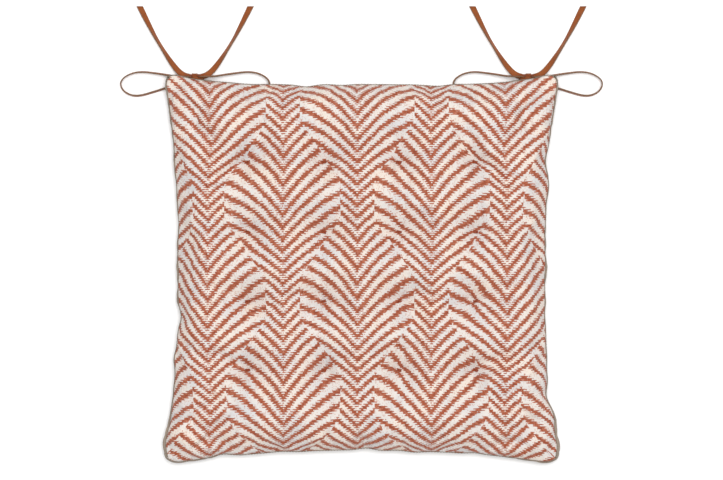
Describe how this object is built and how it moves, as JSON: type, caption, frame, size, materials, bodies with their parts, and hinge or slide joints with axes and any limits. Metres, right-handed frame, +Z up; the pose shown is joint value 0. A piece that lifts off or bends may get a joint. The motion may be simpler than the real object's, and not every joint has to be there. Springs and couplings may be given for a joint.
{
  "type": "chair seat pad",
  "caption": "Square tufted seat pad with a woven chevron top, plain underside and a pair of ribbon ties in a bow at each back corner.",
  "frame": {"origin": "under the middle of the pad, on the surface that it rests on", "axes": "+Z up through the patterned top, +Y towards the back edge that carries the ties, +X to the right"},
  "size_m": [0.4908, 0.4617, 0.0462],
  "materials": {
    "top_cloth": "matte",
    "bottom_cloth": "matte",
    "filling": "matte",
    "seam_thread": "matte",
    "tuft_thread": "matte",
    "ribbon": "matte"
  },
  "bodies": {
    "root": {"top_cover": "top_cloth", "bottom_cover": "bottom_cloth", "fibre_filling": "filling", "edge_seam": "seam_thread", "closing_stitches": "seam_thread", "tuft_thread_r1_c1": "tuft_thread", "tuft_thread_r1_c2": "tuft_thread", "tuft_thread_r1_c3": "tuft_thread", "tuft_thread_r1_c4": "tuft_thread", "tuft_thread_r2_c1": "tuft_thread", "tuft_thread_r2_c2": "tuft_thread", "tuft_thread_r2_c3": "tuft_thread", "tuft_thread_r2_c4": "tuft_thread", "tuft_thread_r3_c1": "tuft_thread", "tuft_thread_r3_c2": "tuft_thread", "tuft_thread_r3_c3": "tuft_thread", "tuft_thread_r3_c4": "tuft_thread", "tuft_thread_r4_c1": "tuft_thread", "tuft_thread_r4_c2": "tuft_thread", "tuft_thread_r4_c3": "tuft_thread", "tuft_thread_r4_c4": "tuft_thread", "tie_left_outer": "ribbon", "tie_left_inner": "ribbon", "tie_right_outer": "ribbon", "tie_right_inner": "ribbon", "knot_left": "ribbon", "knot_right": "ribbon", "tack_left": "seam_thread", "tack_right": "seam_thread"}
  },
  "joints": []
}
